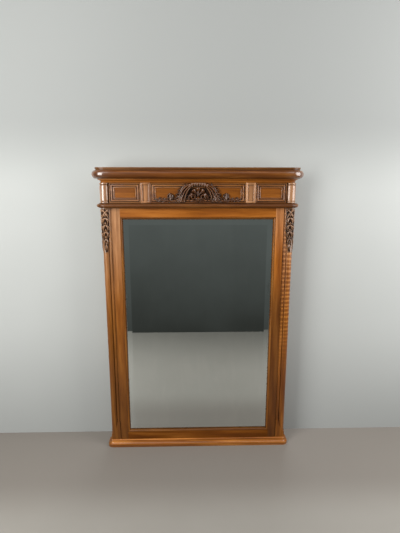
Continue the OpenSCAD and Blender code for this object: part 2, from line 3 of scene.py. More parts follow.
import bmesh
import bpy
import numpy as np
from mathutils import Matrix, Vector


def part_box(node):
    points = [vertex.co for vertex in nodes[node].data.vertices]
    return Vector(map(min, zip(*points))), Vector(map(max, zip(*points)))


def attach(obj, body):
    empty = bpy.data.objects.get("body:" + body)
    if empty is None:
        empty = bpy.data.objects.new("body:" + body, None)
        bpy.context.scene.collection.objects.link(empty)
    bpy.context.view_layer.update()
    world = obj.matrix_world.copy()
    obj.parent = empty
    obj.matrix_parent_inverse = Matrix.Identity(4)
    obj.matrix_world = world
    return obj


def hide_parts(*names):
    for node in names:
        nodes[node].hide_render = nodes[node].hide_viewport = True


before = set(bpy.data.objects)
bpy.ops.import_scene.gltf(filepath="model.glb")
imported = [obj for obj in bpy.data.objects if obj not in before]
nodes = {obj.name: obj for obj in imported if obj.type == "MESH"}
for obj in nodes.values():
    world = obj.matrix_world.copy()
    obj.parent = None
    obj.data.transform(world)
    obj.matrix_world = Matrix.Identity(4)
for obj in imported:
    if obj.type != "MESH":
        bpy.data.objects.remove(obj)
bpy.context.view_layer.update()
scene = bpy.context.scene
print("frame loaded:", len(nodes), "nodes")

mm = 0.001
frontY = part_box("stile_left")[0].y          # face of the stiles
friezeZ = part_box("frieze_board")[0].z       # foot of the frieze
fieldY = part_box("frieze_board")[0].y        # face of the sunk panels
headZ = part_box("post_left")[1].z            # top of the posts
sink = 0.9                                  # how far an applied piece goes into its ground, in mm


def placed(name, data):
    obj = bpy.data.objects.new(name, data)
    scene.collection.objects.link(obj)
    return obj


def dress(obj, material):
    obj.data.materials.clear()
    obj.data.materials.append(material)


cameraLook = {"place": (-0.0425, frontY - 1.9738, 1.4198), "right": 1.47, "down": 11.81, "roll": 0.05,
              "lens": 27.02}


def makeCamera(look):
    data = bpy.data.cameras.new("camera")
    data.lens = look["lens"]
    data.sensor_width = 36
    data.dof.use_dof = False
    cam = placed("camera", data)
    cam.location = look["place"]
    cam.rotation_euler = [math.radians(turn) for turn in (90 - look["down"], -look["roll"], -look["right"])]
    scene.camera = cam


makeCamera(cameraLook)
print("camera placed")


class Value:
    def __init__(self, sheet, socket):
        self.sheet, self.socket = sheet, socket

    def __add__(self, other): return self.sheet.math("ADD", self, other)
    def __radd__(self, other): return self.sheet.math("ADD", other, self)
    def __sub__(self, other): return self.sheet.math("SUBTRACT", self, other)
    def __rsub__(self, other): return self.sheet.math("SUBTRACT", other, self)
    def __mul__(self, other): return self.sheet.math("MULTIPLY", self, other)
    def __rmul__(self, other): return self.sheet.math("MULTIPLY", other, self)
    def __abs__(self): return self.sheet.math("ABSOLUTE", self, 0.0)

    def clip(self):
        return self.sheet.math("ADD", self, 0.0, clamp=True)

    def band(self, low, high):              # 0 at low, 1 at high, smooth between
        return self.sheet.add("ShaderNodeMapRange", {"interpolation_type": "SMOOTHSTEP"},
                              {"Value": self, "From Min": low, "From Max": high}, "Result")


class Finish:
    def __init__(self, name):
        self.material = bpy.data.materials.new(name)
        self.material.use_nodes = True
        self.tree = self.material.node_tree
        self.tree.nodes.clear()
        self.out = self.tree.nodes.new("ShaderNodeOutputMaterial")

    def add(self, kind, settings=None, inputs=None, output=0):
        node = self.tree.nodes.new(kind)
        for key, value in (settings or {}).items():
            setattr(node, key, value)
        for key, value in (inputs or {}).items():
            if isinstance(value, Value):
                self.tree.links.new(value.socket, node.inputs[key])
            else:
                node.inputs[key].default_value = value
        return Value(self, node.outputs[output])

    def math(self, operation, a, b, clamp=False):
        return self.add("ShaderNodeMath", {"operation": operation, "use_clamp": clamp}, {0: a, 1: b})

    def mix(self, factor, a, b, kind="MIX"):
        return self.add("ShaderNodeMix", {"data_type": "RGBA", "blend_type": kind},
                        {0: factor, 6: a, 7: b}, 2)

    def ramp(self, factor, stops):
        made = self.add("ShaderNodeValToRGB", None, {"Fac": factor}, "Color")
        elements = made.socket.node.color_ramp.elements
        while len(elements) < len(stops):
            elements.new(0.5)
        for element, (spot, colour) in zip(elements, stops):
            element.position = spot
            element.color = (*colour, 1)
        return made

    def place(self, scale=(1, 1, 1), shift=(0, 0, 0)):
        coords = self.add("ShaderNodeTexCoord", None, None, "Object")
        return self.add("ShaderNodeMapping", None, {"Vector": coords, "Scale": scale, "Location": shift})

    def axis(self, letter):                 # the place along one axis, in metres
        coords = self.add("ShaderNodeTexCoord", None, None, "Object")
        return self.add("ShaderNodeSeparateXYZ", None, {"Vector": coords}, letter)

    def noise(self, vector, scale, detail, rough=0.5, distortion=0.0):
        return self.add("ShaderNodeTexNoise", None, {"Vector": vector, "Scale": scale, "Detail": detail,
                                                     "Roughness": rough, "Distortion": distortion}, "Fac")

    def hollow(self, reach):                # 1 deep in a hollow, 0 in the open
        return 1 - self.add("ShaderNodeAmbientOcclusion", {"samples": 8}, {"Distance": reach}, "AO")

    def bump(self, height, strength, distance):
        return self.add("ShaderNodeBump", None,
                        {"Strength": strength, "Distance": distance, "Height": height}, "Normal")

    def surface(self, sockets):
        return self.add("ShaderNodeBsdfPrincipled", None, sockets, "BSDF")

    def finish(self, shader):
        self.tree.links.new(shader.socket, self.out.inputs["Surface"])
        return self.material


def drawn(along, share, rest=1):            # texture scale for a grain that runs along one axis
    return tuple(share if axis == along else rest for axis in "XYZ")


walnutTones = {"dark": (0.060, 0.0140, 0.0012), "mid": (0.202, 0.066, 0.0050), "light": (0.42, 0.172, 0.030),
               # on this line the near-black tone paints shade, with grime, in the hollows, and the worn tone
               # paints a highlight, with wear, on high carved parts
               "red": (0.40, 0.13, 0.028), "shadeAndGrime": (0.012, 0.004, 0.001), "worn": (0.46, 0.28, 0.17),
               # on this line the darker rubbed, rubbed and pale tones are the colours of a painted sheen
               "paintedSheenDark": (0.20, 0.095, 0.035), "paintedSheenMid": (0.46, 0.26, 0.135), "paintedSheen": (0.66, 0.43, 0.30),
               "stain": (0.155, 0.056, 0.012)}
walnutGrain = {"broad": 16, "streak": 95, "pores": 620, "rings": 14.0, "blotch": 5.5, "curl": 14.3}
shadeAndDirtReach = {"wide": 0.012, "tight": 0.0035}   # how far round a hollow the painted shade and dirt are looked for, in metres


def tone4(label):
    return (*walnutTones[label], 1)


# low paints shade, darker towards the bottom, as (how much darker, from height, to height); the sheen heights
# are where the painted sheen begins and is full; ends is where, to both sides of the middle, the polish
# begins to shine and shines fully.
def walnut(name, along, seed, tone, warm=0.0, ripple=0.0, figure=1.0, carved=False, shine=0.25, shadeAndDirtAmount=1.0,
           paintedSheen=0.0, paintedSheenFrom=None, low=None, haze=0.22, coat=1.5, ends=None):
    f = Finish(name)
    shift = (seed * 1.37, seed * 0.71 + 3.1, seed * 2.13)
    grain = f.place(drawn(along, 0.07), shift)
    height = f.axis("Z")
    broad = f.noise(grain, walnutGrain["broad"], 2, 0.5, 0.8)
    streak = f.noise(grain, walnutGrain["streak"], 3, 0.6, 0.4)
    fine = f.noise(f.place(drawn(along, 0.03), shift), walnutGrain["pores"], 2)
    rings = f.add("ShaderNodeTexWave", {"wave_type": "BANDS", "bands_direction": "DIAGONAL"},
                  {"Vector": grain, "Scale": walnutGrain["rings"], "Distortion": 7.0, "Detail": 2.0,
                   "Detail Scale": 1.4}, "Fac")
    # painted shade with dirt: ambient occlusion darkens the wood towards near black in hollows, corners and
    # the joins between parts
    wide, tight = f.hollow(shadeAndDirtReach["wide"]), f.hollow(shadeAndDirtReach["tight"])
    shadeAndDirt = f.math("MAXIMUM", wide.band(0.36, 0.92) * (0.80 * shadeAndDirtAmount), tight.band(0.22, 0.55) * (0.85 * shadeAndDirtAmount))
    level = (broad - 0.5) * (0.50 * figure) + streak * 0.42 + rings * (0.14 * figure) + fine * 0.20 + 0.12
    if ripple:                              # curl across the grain, on the open faces of the upper post
        curl = f.add("ShaderNodeTexWave", {"wave_type": "BANDS", "bands_direction": along},
                     {"Vector": f.place(drawn(along, 1, 0.25), shift), "Scale": walnutGrain["curl"],
                      "Distortion": 5.0, "Detail": 1.5, "Detail Scale": 1.1}, "Fac")
        seen = (1 - wide.band(0.10, 0.45)) * height.band(0.35, 0.85)
        level = level + (curl.band(0.35, 0.95) - 0.2) * seen * ripple
    colour = f.ramp(level, [(0.22, walnutTones["dark"]), (0.50, walnutTones["mid"]),
                            (0.80, walnutTones["light"])])
    blotch = f.noise(f.place(shift=shift), walnutGrain["blotch"], 2)
    colour = f.mix((blotch - 0.35).clip() * 0.35, colour, tone4("red"))
    colour = f.mix(fine.band(0.60, 0.72) * 0.45, colour, tone4("dark"))
    colour = f.mix(1.0, colour, (tone * (1 + warm), tone, tone * (1 - warm), 1), "MULTIPLY")
    # painted shade: darker towards the bottom
    if low:
        dark = 1 - (1 - height.band(low[1], low[2])) * low[0]
        grey = f.add("ShaderNodeCombineColor", None, {0: dark, 1: dark, 2: dark}, "Color")
        colour = f.mix(1.0, colour, grey, "MULTIPLY")
    # painted sheen: paler pinkish wood, rising from the lower to the upper of the given heights
    if paintedSheen:
        paintedSheenMid = f.ramp(level, [(0.30, walnutTones["paintedSheenDark"]), (0.52, walnutTones["paintedSheenMid"]),
                                (0.75, walnutTones["paintedSheen"])])
        reach = height.band(*paintedSheenFrom) if paintedSheenFrom else 1.0
        colour = f.mix((0.7 + 0.3 * broad) * reach * paintedSheen, colour, paintedSheenMid)
    # the painted shade and dirt of the hollows go into the colour here
    colour = f.mix(shadeAndDirt, colour, tone4("shadeAndGrime"))
    rough = 0.36 + streak * 0.14 + shadeAndDirt * 0.30
    polish = 1.0
    if carved:                              # painted shade, with grime, on the low ground and in duller hollows; painted highlight, with wear, on the high parts
        lift, cavity, worn = [f.add("ShaderNodeAttribute", {"attribute_name": label}, None, "Fac")
                              for label in ("lift", "cavity", "worn")]
        shadedHollow = cavity.band(0.05, 0.50)
        # painted shade with grime: the lower a part stands in the relief, the darker
        colour = f.mix((1 - lift.band(0.15, 0.90)) * 0.70, colour, tone4("shadeAndGrime"))
        # painted shade in the hollows and on the deep ground
        colour = f.mix(shadedHollow * 0.95, colour, tone4("shadeAndGrime"))
        # painted highlight with wear: paler on the high ridges
        colour = f.mix(worn.band(0.35, 1.0) * lift.band(0.5, 0.9) * 0.35, colour, tone4("worn"))
        polish, rough = 1 - shadedHollow, rough + shadedHollow * 0.4
    if ends:
        gloss = (abs(f.axis("X")).band(*ends) * (1 - shine) + shine) * polish
    else:
        gloss = polish * shine
    return f.finish(f.surface({
        "Base Color": colour, "Roughness": rough, "Normal": f.bump(fine * 0.5 + streak * 0.5, 0.10, 0.0006),
        "Coat Weight": gloss, "Coat Roughness": haze, "Coat IOR": coat,
        "Specular IOR Level": 0.12 + (0.10 if carved else 0.38) * shine}))


pineTones = {"dark": (0.20, 0.115, 0.05), "mid": (0.40, 0.26, 0.13), "light": (0.52, 0.37, 0.20),
             "aged": (0.16, 0.11, 0.065), "dustAndShade": (0.05, 0.035, 0.02)}
pineGrain = {"streak": 80, "broad": 15, "age": 6}


def pine(name, along, seed, ends=None):
    f = Finish(name)
    shift = (seed * 1.9, seed * 1.1, seed * 0.6)
    grain = f.place(drawn(along, 0.05), shift)
    streak = f.noise(grain, pineGrain["streak"], 3, 0.6, 0.3)
    broad = f.noise(grain, pineGrain["broad"], 2, 0.5, 1.0)
    age = f.noise(f.place(shift=shift), pineGrain["age"], 4, 0.6)
    colour = f.ramp(streak * 0.5 + broad * 0.5,
                    [(0.25, pineTones["dark"]), (0.5, pineTones["mid"]), (0.8, pineTones["light"])])
    colour = f.mix((age - 0.45).clip() * 1.6, colour, (*pineTones["aged"], 1))
    if ends:                                # stained like the walnut where its ends show at the sides
        colour = f.mix(abs(f.axis("X")).band(ends - 0.001, ends), colour, tone4("stain"))
    # dust and painted shade: ambient occlusion darkens the hollows
    colour = f.mix(f.hollow(0.015).band(0.3, 0.95) * 0.6, colour, (*pineTones["dustAndShade"], 1))
    return f.finish(f.surface({"Base Color": colour, "Roughness": 0.62 + streak * 0.2,
                               "Normal": f.bump(streak, 0.25, 0.0008)}))


metalGrain = 160


def metal(name, colour, dull, rough):
    f = Finish(name)
    worn = f.noise(f.place(), metalGrain, 4, 0.6)
    tint = f.mix(worn.band(0.4, 0.7) * 0.5, (*colour, 1), (*[c * share for c, share in zip(colour, dull)], 1))
    return f.finish(f.surface({"Base Color": tint, "Metallic": 1.0, "Roughness": rough + worn * 0.25,
                               "Normal": f.bump(worn, 0.1, 0.0004)}))


glassSight = {"half": 0.373, "low": 0.091, "high": 1.243}
glassGrain = {"smear": 5, "specks": 90, "spots": 60}
# worn silver by the long edges: from where to where, outwards, then where it begins and ends in height
glassWear = {"left": ((0.325, 0.372), (0.75, 0.80), (0.84, 0.91)),
             "right": ((0.335, 0.372), (0.81, 0.86), (0.90, 0.97))}


def mirrorGlass(name, sight, wear):
    f = Finish(name)
    smear = f.noise(f.place((3.0, 1, 0.8), (0.4, 0, 0.2)), glassGrain["smear"], 4, 0.6, 0.6)
    specks = f.noise(f.place(), glassGrain["specks"], 3, 0.7)
    tint = f.mix(smear.band(0.45, 0.75) * 0.3, (0.72, 0.76, 0.75, 1), (0.82, 0.85, 0.84, 1))
    tint = f.mix(specks.band(0.70, 0.80) * 0.12, tint, (0.45, 0.45, 0.43, 1))
    across, height = f.axis("X"), f.axis("Z")
    spots = f.noise(f.place(shift=(0.3, 0, 0.9)), glassGrain["spots"], 4, 0.65)
    left, right = [outwards.band(*wear[label][0]) * height.band(*wear[label][1])
                   * (1 - height.band(*wear[label][2]))
                   for label, outwards in (("left", across * -1), ("right", across))]
    places = f.math("MAXIMUM", left, right)
    patch = (spots + places * 0.35).band(0.72, 0.80) * places.band(0.1, 0.5)
    upright = f.math("MINIMUM", sight["high"] - height, height - sight["low"])
    rim = f.math("MINIMUM", sight["half"] - abs(across), upright)
    line = (1 - rim.band(0.0015, 0.0045)) * (0.35 + 0.4 * spots)        # along the ground edge
    tint = f.mix(patch * 0.3, tint, (0.55, 0.57, 0.55, 1))
    tint = f.mix(line, tint, (0.60, 0.60, 0.55, 1))
    rough = 0.012 + smear.band(0.5, 0.8) * 0.03 + patch * 0.16 + line * 0.5
    return f.finish(f.surface({"Base Color": tint, "Metallic": 1.0, "Roughness": rough}))


brass = metal("brassDull", (0.42, 0.30, 0.13), (0.45, 0.42, 0.4), 0.35)
steel = metal("screwSteel", (0.33, 0.31, 0.29), (0.45, 0.42, 0.4), 0.38)
pineRails = pine("pineBase", "X", 2.0)
walnutCentre = walnut("walnutCentre", "X", 20.7, 0.72, 0.05, shine=0.8, shadeAndDirtAmount=1.15)
carvedWalnut = walnut("walnutCarved", "X", 33.0, 0.40, 0.14, figure=0.6, carved=True, shine=0.42, haze=0.12,
                      coat=1.7, ends=(0.05, 0.10))
# the drops carry a painted sheen on their upper part, besides the painted shade and highlight of the carving
carvedPost = walnut("walnutCarvedPost", "Z", 34.0, 0.62, -0.02, figure=0.6, carved=True, shine=0.7, paintedSheen=0.34,
                    paintedSheenFrom=(0.99, 1.12), haze=0.15, coat=1.7)

# each walnut piece: name, grain, seed, tone and warmth
finishes = {
    # painted light: the base front is darker towards the floor, lighter above where it is lit
    "base_front": walnut("walnutBase", "X", 1.0, 1.30, 0.04, shine=0.5, shadeAndDirtAmount=0.45, low=(0.34, 0.010, 0.030)),
    "base_left": walnut("walnutBaseLeft", "Y", 1.6, 1.0),
    "base_right": walnut("walnutBaseRight", "Y", 2.2, 1.0),
    # posts and stiles: painted shade darker towards the bottom and painted sheen towards the top
    "post_left": walnut("walnutPostLeft", "Z", 3.0, 0.86, figure=0.7, shadeAndDirtAmount=0.30, low=(0.25, 0.1, 1.0),
                        paintedSheen=0.35, paintedSheenFrom=(0.7, 1.25)),
    "post_right": walnut("walnutPostRight", "Z", 4.0, 0.95, 0.06, ripple=0.27, shadeAndDirtAmount=0.4, low=(0.2, 0.1, 1.0),
                         paintedSheen=0.2, paintedSheenFrom=(0.7, 1.25)),
    "stile_left": walnut("walnutStileLeft", "Z", 5.2, 0.98, 0.04, figure=0.7, shadeAndDirtAmount=0.35, low=(0.48, 0.1, 1.0),
                         paintedSheen=0.60, paintedSheenFrom=(0.75, 1.28)),
    # the right stile is made lighter overall and much darker low down: painted light at its top and painted
    # shade below
    "stile_right": walnut("walnutStileRight", "Z", 6.4, 1.42, 0.12, shadeAndDirtAmount=0.5, low=(0.72, 0.72, 1.24),
                          paintedSheen=0.45, paintedSheenFrom=(1.02, 1.28)),
    "top_rail": walnut("walnutTopRail", "X", 7.5, 1.0, 0.10, shine=0.10, figure=0.8),
    "bottom_rail": walnut("walnutBottomRail", "X", 8.6, 0.56, 0.12, shine=0.0),
    "sight_top": walnut("walnutSightTop", "X", 9.1, 0.60),
    "sight_bottom": walnut("walnutSightBottom", "X", 9.7, 0.60),
    # painted light: the upright sight pieces are lighter than the sight rails, so that their edge and its
    # reflection in the glass read as a light line
    "sight_left": walnut("walnutSightLeft", "Z", 10.3, 0.80),
    "sight_right": walnut("walnutSightRight", "Z", 10.9, 0.80),
    "astragal_front": walnut("walnutAstragal", "X", 11.5, 0.40, 0.08, shine=0.22),
    "astragal_left": walnut("walnutAstragalLeft", "Y", 12.1, 0.6, shine=0.5),
    "astragal_right": walnut("walnutAstragalRight", "Y", 12.7, 0.6, shine=0.5),
    "frieze_board": walnut("walnutFrieze", "X", 13.3, 0.86, 0.05, figure=0.3, shine=0.12),
    # the colonnettes here and the pilasters after them carry a painted sheen
    "colonnette_left": walnut("walnutColonnetteLeft", "Z", 14.2, 0.95, shine=1.0, paintedSheen=0.42, shadeAndDirtAmount=1.2,
                              haze=0.26, coat=1.95),
    "colonnette_right": walnut("walnutColonnetteRight", "Z", 15.1, 0.85, shine=0.9, paintedSheen=0.30, shadeAndDirtAmount=1.2,
                               haze=0.28, coat=1.75),
    "pilaster_left": walnut("walnutPilasterLeft", "Z", 16.3, 1.0, shine=0.9, paintedSheen=0.22),
    "pilaster_right": walnut("walnutPilasterRight", "Z", 17.4, 1.12, shine=0.9, paintedSheen=0.50),
    "panel_frame_left": walnut("walnutPanelLeft", "X", 18.5, 0.84, shine=0.9, shadeAndDirtAmount=1.15),
    "panel_frame_right": walnut("walnutPanelRight", "X", 19.6, 0.80, 0.03, shine=0.9, shadeAndDirtAmount=1.15),
    "centre_frame_top": walnutCentre, "centre_frame_bottom": walnutCentre,
    "centre_frame_left": walnutCentre, "centre_frame_right": walnutCentre,
    "cove_front": walnut("walnutCove", "X", 25.1, 1.15, 0.05, shine=0.15, shadeAndDirtAmount=0.85),
    "cove_left": walnut("walnutCoveLeft", "Y", 26.2, 1.0, shine=0.6),
    "cove_right": walnut("walnutCoveRight", "Y", 27.3, 1.0, shine=0.6),
    "crown_front": walnut("walnutCrown", "X", 28.4, 0.47, 0.12, shine=0.12, haze=0.18, coat=1.9,
                          ends=(0.40, 0.47)),
    "crown_left": walnut("walnutCrownLeft", "Y", 29.5, 0.6, 0.10, shine=1.0, haze=0.18, coat=1.9),
    "crown_right": walnut("walnutCrownRight", "Y", 30.6, 0.6, 0.10, shine=1.0, haze=0.18, coat=1.9),
    "top_board": walnut("walnutTop", "X", 31.7, 0.45),
    "crest_carving": carvedWalnut, "drop_left": carvedPost, "drop_right": carvedPost,
    "mirror_glass": mirrorGlass("mirror", glassSight, glassWear),
    "back_boards": pine("pineBoards", "Z", 1.0),
    "frieze_back_board": pine("pineFrieze", "X", 2.6, ends=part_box("frieze_back_board")[1].x - 0.0005),
    "hanging_plate_left": brass, "hanging_plate_right": brass, "plate_screws": steel, "back_screws": steel,
}
for name in ("base_board", "base_back_rail", "astragal_deck", "cornice_deck", "crown_back_rail",
             "back_rail_top", "back_rail_bottom", "glazing_blocks"):
    finishes[name] = pineRails
for name, material in finishes.items():
    dress(nodes[name], material)
print("finishes set on", len(finishes), "nodes, left out:", sorted(set(nodes) - set(finishes)))


# A profile is (distance in from the edge, height over the sunk face) in mm, carried round a rectangle.
def halfRound(centre, width, height, count):
    turns = [math.radians(180 * k / count) for k in range(count + 1)]
    return [(centre[0] - width * math.cos(t), centre[1] + height * math.sin(t)) for t in turns]


def mitred(name, low, high, profile, material, filled):
    rings = []
    for inset, rise in profile:
        x0, z0, x1, z1 = low.x / mm + inset, low.z / mm + inset, high.x / mm - inset, high.z / mm - inset
        y = fieldY / mm - rise
        rings.append([(x0, y, z0), (x1, y, z0), (x1, y, z1), (x0, y, z1)])
    points = [tuple(c * mm for c in p) for ring in rings for p in ring]
    faces = []
    for k in range(len(rings) - (1 if filled else 0)):
        here, after = 4 * k, 4 * ((k + 1) % len(rings))
        faces += [(here + i, here + (i + 1) % 4, after + (i + 1) % 4, after + i) for i in range(4)]
    if filled:
        last = 4 * (len(rings) - 1)
        faces += [(3, 2, 1, 0), (last, last + 1, last + 2, last + 3)]
    mesh = bpy.data.meshes.new(name)
    mesh.from_pydata(points, [], faces)
    mesh.polygons.foreach_set("use_smooth", np.ones(len(mesh.polygons), bool))
    mesh.set_sharp_from_angle(angle=math.radians(32))
    mesh.update()
    obj = placed(name, mesh)
    dress(obj, material)
    return obj


frameSizes = {"lip": 3.4, "top": 11.0, "chamfer": 0.8, "quirk": 2.4, "quirkFloor": 4.0, "roll": 8.4,
              "rollRise": 5.6, "groove": 1.0, "bead": 2.9, "beadRise": 3.6, "foot": 1.2, "width": 25.0}
blockSizes = {"edge": 8.6, "top": 12.0, "border": 10.4, "sunk": 6.4, "step": 3.0, "floor": 4.6}


def frameProfile(s):
    roll, inner = s["lip"] + s["quirk"] + s["roll"] / 2, s["width"] - s["foot"] - s["bead"]
    return [(0, -sink), (0, s["top"] - s["chamfer"]), (s["chamfer"], s["top"]), (s["lip"] - 0.5, s["top"]),
            (s["lip"], s["top"] - 0.5), (s["lip"] + 0.3, s["quirkFloor"]),
            (roll - s["roll"] / 2, s["quirkFloor"]),
            *halfRound((roll, s["quirkFloor"]), s["roll"] / 2, s["rollRise"], 14),
            (roll + s["roll"] / 2 + 0.3, s["groove"]), (inner - s["bead"] - 0.2, s["groove"]),
            *halfRound((inner, s["groove"]), s["bead"], s["beadRise"], 12), (s["width"] - 0.6, 0.3),
            (s["width"], -sink)]


def blockProfile(s):
    half = s["border"] / 2
    return [(0, -sink), *halfRound((half, s["edge"]), half, s["top"] - s["edge"], 12),
            (s["border"] + 0.2, s["sunk"]), (s["border"] + s["step"], s["sunk"]),
            (s["border"] + s["step"] + 0.2, s["floor"])]


for label, profile, filled, parts in (
        ("panelMouldingLeft", frameProfile(frameSizes), False, ["panel_frame_left"]),
        ("panelMouldingRight", frameProfile(frameSizes), False, ["panel_frame_right"]),
        ("centreMoulding", frameProfile(frameSizes), False,
         ["centre_frame_top", "centre_frame_bottom", "centre_frame_left", "centre_frame_right"]),
        ("pilasterLeft", blockProfile(blockSizes), True, ["pilaster_left"]),
        ("pilasterRight", blockProfile(blockSizes), True, ["pilaster_right"])):
    boxes = [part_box(part) for part in parts]
    low = Vector([min(b[0][k] for b in boxes) for k in range(3)])
    high = Vector([max(b[1][k] for b in boxes) for k in range(3)])
    made = mitred(label, low, high, profile, finishes[parts[0]], filled)
    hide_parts(*parts)
    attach(made, "root")
print("frieze mouldings made")


# A relief is a grid of heights over (x, z), in mm. Each motif raises it where it stands higher.
class Relief:
    def __init__(self, x0, x1, z0, z1, step):
        self.xs = np.arange(x0, x1 + step / 2, step)
        self.zs = np.arange(z0, z1 + step / 2, step)
        self.x, self.z = np.meshgrid(self.xs, self.zs)
        self.h = np.full(self.x.shape, -1.0)
        self.dark = np.zeros(self.x.shape)      # painted shade: 1 on the deep ground
        self.step = step

    def window(self, x0, x1, z0, z1):
        i0, i1 = np.searchsorted(self.xs, [x0, x1])
        j0, j1 = np.searchsorted(self.zs, [z0, z1])
        return slice(j0, j1), slice(i0, i1)

    def raiseTo(self, part, height):
        self.h[part] = np.maximum(self.h[part], height)

    def blur(self, grid, radius):
        size = max(1, int(round(radius / self.step)))
        kernel = np.hanning(2 * size + 3)[1:-1]
        kernel /= kernel.sum()
        padded = np.pad(grid, size, mode="edge")
        rows = np.apply_along_axis(lambda r: np.convolve(r, kernel, mode="valid"), 1, padded)
        return np.apply_along_axis(lambda c: np.convolve(c, kernel, mode="valid"), 0, rows)


def bend(points, count=60):
    pts = np.array(points, float)
    t = np.linspace(0, 1, count)[:, None]
    if len(pts) == 3:
        return (1 - t) ** 2 * pts[0] + 2 * t * (1 - t) * pts[1] + t ** 2 * pts[2]
    return ((1 - t) ** 3 * pts[0] + 3 * t * (1 - t) ** 2 * pts[1] + 3 * t ** 2 * (1 - t) * pts[2]
            + t ** 3 * pts[3])


# The share of the way along a line, and the distances beside it and past it, for each point near the line.
def beside(relief, line, reach):
    low, high = line.min(0) - reach, line.max(0) + reach
    part = relief.window(low[0], high[0], low[1], high[1])
    x, z = relief.x[part], relief.z[part]
    k = ((x[..., None] - line[:, 0]) ** 2 + (z[..., None] - line[:, 1]) ** 2).argmin(-1)
    slope = np.gradient(line, axis=0)
    slope /= np.linalg.norm(slope, axis=1)[:, None]
    dx, dz = x - line[k, 0], z - line[k, 1]
    side = dx * -slope[k, 1] + dz * slope[k, 0]
    ahead = dx * slope[k, 0] + dz * slope[k, 1]
    return part, k / (len(line) - 1.0), side, ahead


def pastEnds(t, ahead, tip, foot):
    end = np.where((t >= 0.999) & (ahead > 0), ahead / tip, 0)
    return end + np.where((t <= 0.001) & (ahead < 0), -ahead / foot, 0)


def leaf(relief, points, width, height, lobes, depth):      # a toothed leaf with a rib
    part, t, side, ahead = beside(relief, bend(points), width)
    outline = np.clip(np.sin(np.pi * np.clip(t, 0.001, 0.999) ** 0.6), 0, 1) ** 0.65
    outline = np.maximum(outline, 0.5 * (1 - t * 1.4))
    swept = t * lobes - np.abs(side) / width * 0.9
    wave = np.abs(np.sin(np.pi * swept))
    reach = width / 2 * outline * (1 - depth * (1 - wave ** 0.7)) + 0.01
    across = np.abs(side) / reach
    rad = np.sqrt(across ** 2 + pastEnds(t, ahead, width * 0.12, width * 0.2) ** 2)
    dome = np.sqrt(np.clip(1 - rad ** 2.6, 0, 1))
    rib = np.exp(-(side / (width * 0.055 + 0.3)) ** 2)
    fold = 1 - 0.55 * np.exp(-((across - 0.30) / 0.16) ** 2)
    rise = height * (0.55 + 0.45 * np.sin(np.pi * t))
    body = rise * dome * (0.70 + 0.18 * wave ** 0.8 * across + 0.12 * fold + 0.16 * rib)
    relief.raiseTo(part, np.where(rad < 1, body, -1.0))


def volute(relief, x, z, radius, height, hand, turns, hollow, start):
    part = relief.window(x - radius * 1.3, x + radius * 1.3, z - radius * 1.3, z + radius * 1.3)
    dx, dz = relief.x[part] - x, relief.z[part] - z
    r = np.hypot(dx, dz) / radius
    angle = (np.arctan2(dz, dx) * hand / (2 * np.pi) + start) % 1
    wave = ((r - hollow) / ((1 - hollow) / turns) + angle) % 1
    ridge = np.sin(np.pi * wave) ** 0.6
    edge = np.clip((1.02 - r) / 0.10, 0, 1)
    eye = np.clip((r - hollow * 0.75) / (hollow * 0.25), 0, 1)
    body = height * (0.45 + 0.55 * ridge) * np.sqrt(edge) * (0.85 + 0.15 * (1 - r))
    body = np.where(eye < 1, np.maximum(height * 0.15, body * eye), body)
    relief.raiseTo(part, np.where(r < 1.02, body, -1.0))


def bud(relief, x, z, rx, rz, height, ribs=0):
    part = relief.window(x - rx * 1.2, x + rx * 1.2, z - rz * 1.2, z + rz * 1.2)
    dx, dz = (relief.x[part] - x) / rx, (relief.z[part] - z) / rz
    r = np.hypot(dx, dz)
    body = height * np.sqrt(np.clip(1 - r ** 2.2, 0, 1))
    if ribs:
        body = body * (0.86 + 0.14 * np.abs(np.cos(ribs * np.arctan2(dx, dz + 1e-6))))
    relief.raiseTo(part, np.where(r < 1, body, -1.0))


def blade(relief, points, width, high, low, vein=0.30, base=0.55, curl=0.0, full=0.6, flat=3.0):
    part, t, side, ahead = beside(relief, bend(points), width)
    outline = np.maximum(np.sin(np.pi * np.clip(t, 0.001, 0.999) ** full) ** 0.55,
                         base * np.clip(1 - t * 1.5, 0, 1))
    across = np.abs(side) / (width / 2 * np.maximum(outline, 0.30) + 0.05)
    rad = np.sqrt(across ** 2 + pastEnds(t, ahead, width * 0.20, width * 0.30) ** 2)
    spine = high + (low - high) * t ** 1.3 + curl * np.clip(t - 0.65, 0, 1) / 0.35
    section = np.clip(1 - rad ** flat, 0, 1) ** 0.5 * (1 - vein * np.exp(-(across / 0.22) ** 2))
    relief.raiseTo(part, np.where(rad < 1, spine * section, -1.0))


def spray(relief, axis, tips, width, high, low, vein, full, curl=0.0):      # blades that leave one stem
    line = bend(axis)
    way = np.gradient(line, axis=0)
    way /= np.linalg.norm(way, axis=1)[:, None]
    for t, tip in tips:
        k = int(t * (len(line) - 1))
        start, target = line[k], np.array(tip, float)
        middle = start + way[k] * np.linalg.norm(target - start) * 0.5
        blade(relief, [start, middle, target], width, high, low, vein, curl=curl, full=full)


crestSizes = {"halfWidth": 213, "foot": 4.0, "head": 97.5, "step": 0.75, "height": 23.0}


